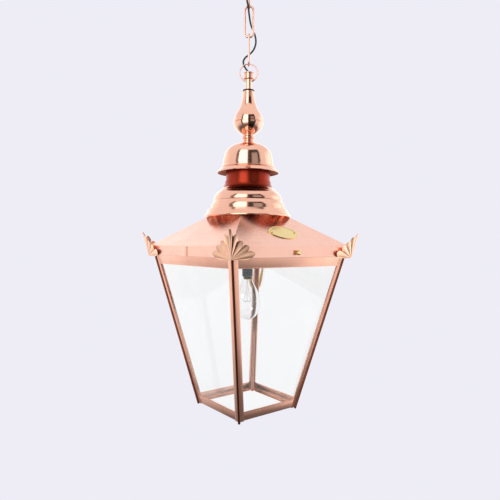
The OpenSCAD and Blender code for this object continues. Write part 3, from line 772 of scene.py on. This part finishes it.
# ---------------------------------------------------------------- ceiling rose
turned(
    "rose",
    skin(
        profile(
            [(3, 0.4), (14, 0), (22, 1), (30, 3), (37, 5.8), (43, 9), (47.2, 12.8), (50, 17), (51.4, 20)],
            [(51.4, 20), (52, 21), (52, ROSE_H)],
        ),
        1.6,
    ),
    DROP - ROSE_H, copper_turned, "ceiling", ("ceiling_plate",), "polished_copper", seg=144,
)


# ---------------------------------------------------------------- roof
def roof_mesh():
    """Skirt, a rounded fold and four flats that sag a little between their hips."""
    neck = (BELL_R - 8.3) / math.sqrt(2)
    rings = [(ROOF - 1, SKIRT + 0.3), (ROOF - 0.4, SKIRT), (ROOF, SKIRT + 0.4)]
    rings += [(ROOF, SKIRT + 21 * i / 6) for i in range(1, 6)]
    rings += [(ROOF, FOLD - 0.9), (ROOF - 0.15, FOLD - 0.25), (ROOF - 0.8, FOLD + 0.5)]
    for i in range(1, 25):
        half = ROOF - (ROOF - neck) * i / 24
        rings.append((half, FOLD + (ROOF - half) * SLOPE_T))
    inside = [(a - 1, h) if h < FOLD - 0.5 else (a - 1.2, h - 0.6) for a, h in rings[:2:-1]]
    rings += [(rings[-1][0] - 0.7, rings[-1][1] + 0.2)] + inside
    per = 16
    rows, uvs, run = [], [], 0.0
    for k, (half, h) in enumerate(rings):
        if k:
            run += math.hypot(half - rings[k - 1][0], h - rings[k - 1][1])
        row, uv = [], []
        for side in range(4):
            turn = Matrix.Rotation(math.radians(90 * side), 3, "Z")
            for j in range(per):
                x = -half + 2 * half * j / per
                p = turn @ Vector((x, -half, 0))
                flat = max(0.0, min(1.0, (h - FOLD) / 40))
                sag = 0.35 * flat * math.sin(math.pi * j / per) * (1 if half > neck + 4 else 0)
                row.append(at(p.x, p.y, h - sag))
                uv.append(((x + side * 400) * MM, run * MM))
        rows.append(row)
        uvs.append(uv)
    return grid_mesh("roof_sheet", rows, uvs, close_u=True, close_v=True)


place("roof_sheet", roof_mesh(), copper_sheet, "crown", ("roof",), "satin_copper", sharp=20)

SEAM = ((-9, 0.2), (9, 0.2), (9, 20), (-9, 20))
seam = plate("seam_lap", SEAM, 0.15, 1.05, side_matrix(3, ROOF, 0, SKIRT), (1, 0, 0), 0.2)
place("seam_lap", seam, copper_sheet, "crown", ("skirt_seam",), "satin_copper")


# ---------------------------------------------------------------- ears
EAR_T = 0.8
EAR_LEAN = 10.9
# Each ray of an ear: its lowest and highest angle up from the skirt, and its reach.
RAYS = ((84, 96, 56.0), (67, 84, 49.0), (43, 67, 42.8), (22, 43, 47.5), (4, 22, 54.8))


def ear_edge(angle):
    """How far out the edge is, and how far through its ray, at an angle up from the skirt."""
    if angle <= 4:
        return 36 + 7.8 * angle / 4, 0.0
    for lo, hi, tip in RAYS:
        if lo <= angle <= hi:
            x = (angle - lo) / (hi - lo)
            return tip * (0.84 + 0.16 * max(0.0, math.sin(math.pi * x)) ** 1.0), x
    return 56.0, 0.5


def ear_mesh(k):
    """Both wings of one ear as one folded and fluted sheet."""
    wings = [
        (side_matrix(k, ROOF + EAR_T, EAR_LEAN, SKIRT - 3), 1),
        (side_matrix((k + 1) % 4, ROOF + EAR_T, EAR_LEAN, SKIRT - 3), -1),
    ]
    e = math.sin(math.radians(EAR_LEAN))
    angles = [i * 1.0 for i in range(0, 91)]
    steps = 14
    columns = [(0, a) for a in angles] + [(1, a) for a in angles[:-1][::-1]]
    rows, uvs = [], []
    sheets = []
    for back in (0, 1):
        sheet = []
        for w, a in columns:
            m, side = wings[w]
            reach, x = ear_edge(a)
            line = []
            for s in range(steps + 1):
                q = s / steps
                r = 0.6 + (reach - 0.6) * q
                xr, y = r * math.cos(math.radians(a)), r * math.sin(math.radians(a))
                flute = 2.1 * q**1.1 * math.sin(math.pi * x) * (0.35 if a > 84 else 1.0)
                curl = 0.9 * q**6
                z = flute + curl - (EAR_T if back else 0)
                p = m @ Vector((side * (ROOF + EAR_T + y * e - xr), y, z))
                if a == 90:
                    other = wings[1 - w]
                    p2 = other[0] @ Vector((other[1] * (ROOF + EAR_T + y * e - xr), y, z))
                    p = (p + p2) / 2
                line.append(at(p.x, p.y, p.z))
            sheet.append(line)
        sheets.append(sheet)
    for i, (w, a) in enumerate(columns):
        front, rear = sheets[0][i], sheets[1][i]
        rows.append(front + rear[::-1])
        u = [0.055 * s / steps for s in range(steps + 1)]
        v = (a if w == 0 else 180 - a) * 0.0008
        uvs.append([(t, v) for t in u] + [(t, v) for t in u[::-1]])
    return grid_mesh(f"ear_leaf_{k + 1}", rows, uvs, close_u=True, caps=True)


for k in range(4):
    place(f"ear_leaf_{k + 1}", ear_mesh(k), copper_ear, "crown", (f"ear_{k + 1}",), "satin_copper", sharp=48)


# ---------------------------------------------------------------- nameplate, left blank
# The plate's middle, in from the roof's edge, and its section from the back edge in to the middle:
# the share of its outline, and the height above the roof.
PLATE_IN = 42.0
PLATE_RIM = (
    (0.99, 0.05), (1, 0.3), (1, 1.2), (0.99, 1.6), (0.955, 1.75), (0.92, 1.55), (0.905, 1.15), (0.5, 1.2),
    (0.02, 1.22),
)


def plaque_mesh():
    rows, uvs = [], []
    m = Matrix.Translation((0, PLATE_IN - ROOF, FOLD + PLATE_IN * SLOPE_T))
    m = m @ Matrix.Rotation(math.radians(SLOPE), 4, "X")
    for share, z in PLATE_RIM:
        row, uv = [], []
        for a in circle_angles(120):
            c, s = math.cos(a), abs(math.sin(a))
            r = min(40.0, -26.5 * s + math.sqrt(49**2 - (26.5 * c) ** 2))
            x, y = r * c * share, r * math.sin(a) * share
            p = m @ Vector((x, y, z))
            row.append(at(p.x, p.y, p.z))
            uv.append((x * MM, y * MM))
        rows.append(row)
        uvs.append(uv)
    return grid_mesh("plaque", rows, uvs, close_u=True, caps=True)


place("plaque", plaque_mesh(), brass_plain, "crown", ("nameplate",), "brass", sharp=30)


# ---------------------------------------------------------------- glazed frame
SIN, COS = math.sin(math.radians(LEAN)), math.cos(math.radians(LEAN))
FLANGE = 13.0
FRAME_SHEET = 1.4
BEAD_R = 2.6
HEM = 1.5
LIP_T = 1.4
LIP_SHORT = 6.0
UPWARDS, ACROSS_SIDE = (0, 1, 0), (1, 0, 0)
SIDES = ("front", "right", "back", "left")
# Each rail: its lowest and highest height, the height of its inward lip, and how far the lip reaches.
RAILS = {"top": (319, 350, 342, 11), "bottom": (4, 23, 4, 9)}
# The front top rail's lip sits lower, clear of the thumbscrew.
FRONT_LIP_DROP = 8.0


def up(h):
    """The distance up a leaning side to a height."""
    return h / COS


def flange_outline(s):
    foot, top = up(2.5), up(FRAME_H)
    pts = []
    for v, w in ((foot, 0.6), (top, 0.6), (top, FLANGE), (foot, FLANGE)):
        pts.append((s * (BASE + v * SIN - w), v))
    return pts


def bar_points(n=24):
    """Distance out and height, up the line in which two sides meet."""
    reach = math.sqrt(2) * BASE
    tilt = math.atan(LEAN_T * math.sqrt(2))
    return [(reach + math.tan(tilt) * h, h) for h in ((SKIRT + 1) * i / n for i in range(n + 1))]


def across_band(half, low, high):
    """A band across a side that widens with the side as it goes up."""
    wide, wider = half + low * SIN, half + high * SIN
    return [(-wide, low), (wide, low), (wider, high), (-wider, high)]


def make_post(k):
    for letter, s, side in (("a", 1, k), ("b", -1, (k + 1) % 4)):
        name = f"post_flange_{k + 1}{letter}"
        place_on = side_matrix(side, BASE, LEAN, 0)
        mesh = plate(name, flange_outline(s), -FRAME_SHEET, 0.25, place_on, UPWARDS, 0.3)
        place(name, mesh, copper_rail, "frame", (f"post_{k + 1}",) if s == 1 else (), "satin_copper")
    turn = math.radians(90 * k - 45)
    line = [at(r * math.cos(turn), r * math.sin(turn), h) for r, h in bar_points()]
    name = f"post_bar_{k + 1}"
    # The corner bar takes the near-black copper: painted shade and reflection.
    place(name, tube(name, line, BEAD_R * MM, around=20), copper_bead_dark_shade, "frame", slot="satin_copper", sharp=50)


def make_rail(k, kind):
    low, high, lip_at, lip = RAILS[kind]
    if kind == "top" and k == 0:
        lip_at -= FRONT_LIP_DROP
    low, high, lip_at = up(low), up(high), up(lip_at)
    half = BASE - FLANGE - 0.02
    m = half + lip_at * SIN - LIP_SHORT
    inward = [(-m, lip_at), (m, lip_at), (m, lip_at + LIP_T), (-m, lip_at + LIP_T)]
    edge, turned_in = (high, high - HEM) if kind == "bottom" else (low, low + HEM)
    extra = [(inward, -lip, -0.5), (across_band(half, edge, turned_in), -0.9, 0.3)]
    name = f"rail_{kind}_{SIDES[k]}"
    outer = across_band(half, low, high)
    mesh = plate(name, outer, -FRAME_SHEET, 0.0, side_matrix(k, BASE, LEAN, 0), ACROSS_SIDE, 0.22, extra)
    place(name, mesh, copper_rail, "frame", (f"{kind}_rail_{SIDES[k]}",), "satin_copper")


for k in range(4):
    make_post(k)
for k in range(4):
    for kind in RAILS:
        make_rail(k, kind)

# ---------------------------------------------------------------- lamp
GLASS = HOLDER - 96.5
turned(
    "lamp_glass",
    skin(
        profile(
            [(0.02, 0), (8, 1), (14.6, 4.2), (20.4, 9.6), (25, 17), (27.8, 26), (28.6, 36), (28.2, 46),
             (26.6, 55), (23.6, 64), (19.6, 72), (15.8, 79), (13.2, 85), (12.2, 89.9)],
            step=1.6,
        ),
        0.9,
    ),
    GLASS, bulb_clear, "bulb", ("bulb_glass",), "bulb_glass", seg=96,
)


def wire(name, points, radius, material, slot="filament_wire", around=10):
    line = spline([at(*p) for p in points], 0.0012)
    return place(name, tube(name, line, radius * MM, around=around), material, "bulb", (), slot, sharp=50)


z = HOLDER - 6.5
stem = [(0, 0, z - drop) for drop in (0, 12, 24, 34)]
wire("lamp_stem", stem, 1.7, bulb_clear, slot="bulb_glass", around=20)
for s, side in ((-1, "left"), (1, "right")):
    lead = [(1.2 * s, 0, z), (2.2 * s, 0, z - 16), (5.5 * s, 0, z - 34), (10.5 * s, 0, z - 47)]
    wire(f"lamp_lead_{side}", lead, 0.35, steel_cad)
wire("lamp_support", [(0, 0, z - 33), (0, 0.4, z - 41), (0, 0.8, z - 49.5)], 0.3, steel_cad)

COIL_HALF, COIL_R, COIL_TURNS, COIL_SAG, COIL_WIRE_R = 10.5, 0.5, 36, 2.6, 0.16


def coil_points(n=360):
    """The coiled filament: it hangs between the leads and over the middle support."""
    out = []
    for i in range(n + 1):
        t = i / n
        x = 2 * COIL_HALF * t - COIL_HALF
        dip = COIL_SAG * math.sin(2 * math.pi * min(t, 1 - t)) ** 2
        a = 2 * math.pi * COIL_TURNS * t
        out.append(at(x, COIL_R * math.cos(a), z - 47.5 - dip + COIL_R * math.sin(a)))
    return out


coil = tube("lamp_coil", coil_points(), COIL_WIRE_R * MM, around=6)
place("lamp_coil", coil, steel_cad, "bulb", ("bulb_filament",), "filament_wire", sharp=60)

# ---------------------------------------------------------------- finishes of the plain parts
polished_cad = metal(
    "polished_cad", (0.95, 0.60, 0.46), (0.55, 0.20, 0.10), 0.2, 0.3, 0.08, 0.18, 0.04, grain_uv=False
)
FINISH = {
    brass_cad: (
        "stay_tube", "stay_nuts", "chimney_spider", "nameplate_screws", "lamp_strap", "bulb_cap",
        "pane_clips", "thumbscrew",
    ),
    copper_cad: ("ceiling_hook", "ear_rivets", "hinge_leaf_upper", "hinge_leaf_lower"),
    steel_cad: ("ceiling_screws", "hinge_pin"),
    polished_cad: ("finial_spindle",),
    rubber: ("ceiling_grommet", "inner_flex"),
    black_gloss: ("lampholder",),
    brown_gloss: ("lampholder_ring",),
    pane_glass: ("pane_front", "pane_right", "pane_back", "pane_left"),
}
for material, nodes in FINISH.items():
    for name in nodes:
        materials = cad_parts[name].data.materials
        if not materials:
            materials.append(material)
        for i in range(len(materials)):
            materials[i] = material


# ---------------------------------------------------------------- light
# Degrees round from the near side, to the right, and degrees up. A band is 1 between its two middle
# numbers and fades to 0 at its outer two.
DARK_ROOM = ((-4.0, 1.0, 56.0, 62.0), (-80.0, -60.0, 50.0, 54.0))
LIT_PANEL = ((17.0, 19.0, 46.0, 50.0), (-6.0, -2.0, 34.0, 38.0))
DARK_STRIP = ((-60.0, -58.0, -47.0, -44.0), (-40.0, -30.0, 50.0, 56.0))
SOFT_BOX = ((-45.0, -43.0, -5.0, -3.0), (-25.0, -18.0, 48.0, 54.0))
RIGHT_WALL = ((88.0, 96.0, 125.0, 135.0), (-36.0, -30.0, 20.0, 35.0))
BACK_HEIGHTS = (-30.0, -10.0, 22.0, 36.0)
STUDIO_WHITE = (0.98, 0.985, 1.0, 1)
GLASS_WHITE = (1.0, 1.0, 1.01, 1)
BACKDROP = (0.855, 0.847, 0.922, 1)


def make_world():
    """A white studio: a soft box to the left, a darker open room to the right and below."""
    world = bpy.data.worlds.new("studio")
    bpy.context.scene.world = world
    world.use_nodes = True
    t = world.node_tree
    bg = t.nodes["Background"]
    coords = t.nodes.new("ShaderNodeTexCoord")
    parts = []
    for d in (ACROSS, -AWAY, Vector((0, 0, 1))):
        n = t.nodes.new("ShaderNodeVectorMath")
        n.operation = "DOT_PRODUCT"
        n.inputs[1].default_value = d
        link(t, coords.outputs["Generated"], n.inputs[0])
        parts.append(n.outputs["Value"])
    az = math_node(t, "DEGREES", math_node(t, "ARCTAN2", parts[0], parts[1]))
    el = math_node(t, "DEGREES", math_node(t, "ARCSINE", parts[2]))

    def times(a, b):
        return math_node(t, "MULTIPLY", a, b)

    def band(value, a, b, c, d):
        return times(remap(t, value, a, b, 0.0, 1.0), remap(t, value, c, d, 1.0, 0.0))

    def patch(place):
        return times(band(az, *place[0]), band(el, *place[1]))

    value = remap(t, el, -42.0, -16.0, 0.16, 1.0)
    dark = math_node(t, "SUBTRACT", patch(DARK_ROOM), times(patch(LIT_PANEL), 0.45))
    dark = math_node(t, "MAXIMUM", dark, times(patch(DARK_STRIP), 0.85))
    value = times(value, math_node(t, "SUBTRACT", 1.0, times(dark, 0.94)))
    around = remap(t, math_node(t, "ABSOLUTE", az), 95.0, 150.0, 0.0, 0.5)
    for extra in (
        times(patch(SOFT_BOX), 1.5),
        times(patch(RIGHT_WALL), 0.55),
        times(around, band(el, *BACK_HEIGHTS)),
    ):
        value = math_node(t, "ADD", value, extra)
    path = t.nodes.new("ShaderNodeLightPath")
    seen = path.outputs["Is Camera Ray"]
    through = path.outputs["Is Transmission Ray"]
    colour = mix_colour(t, through, STUDIO_WHITE, GLASS_WHITE)
    link(t, mix_colour(t, seen, colour, BACKDROP), bg.inputs["Color"])
    for now, level in ((through, 0.98), (seen, 1.0)):
        mixer = t.nodes.new("ShaderNodeMix")
        link(t, now, mixer.inputs[0])
        link(t, value, mixer.inputs[2])
        mixer.inputs[3].default_value = level
        value = mixer.outputs[0]
    link(t, value, bg.inputs["Strength"])


make_world()


def lamp(name, spot, target, size, power):
    """A soft lamp that only lights: it isn't mirrored in the metal."""
    data = bpy.data.lights.new(name, "AREA")
    data.shape = "RECTANGLE"
    data.size, data.size_y = size
    data.energy = power
    obj = bpy.data.objects.new(name, data)
    bpy.context.scene.collection.objects.link(obj)
    obj.location = spot
    obj.rotation_euler = (target - spot).to_track_quat("-Z", "Y").to_euler()
    obj.visible_glossy = False


MIDDLE = near(0, 0, 350)
lamp("key", near(-1100, -900, 1100), MIDDLE, (0.5, 0.9), 16)

bpy.context.scene.view_settings.view_transform = "Standard"
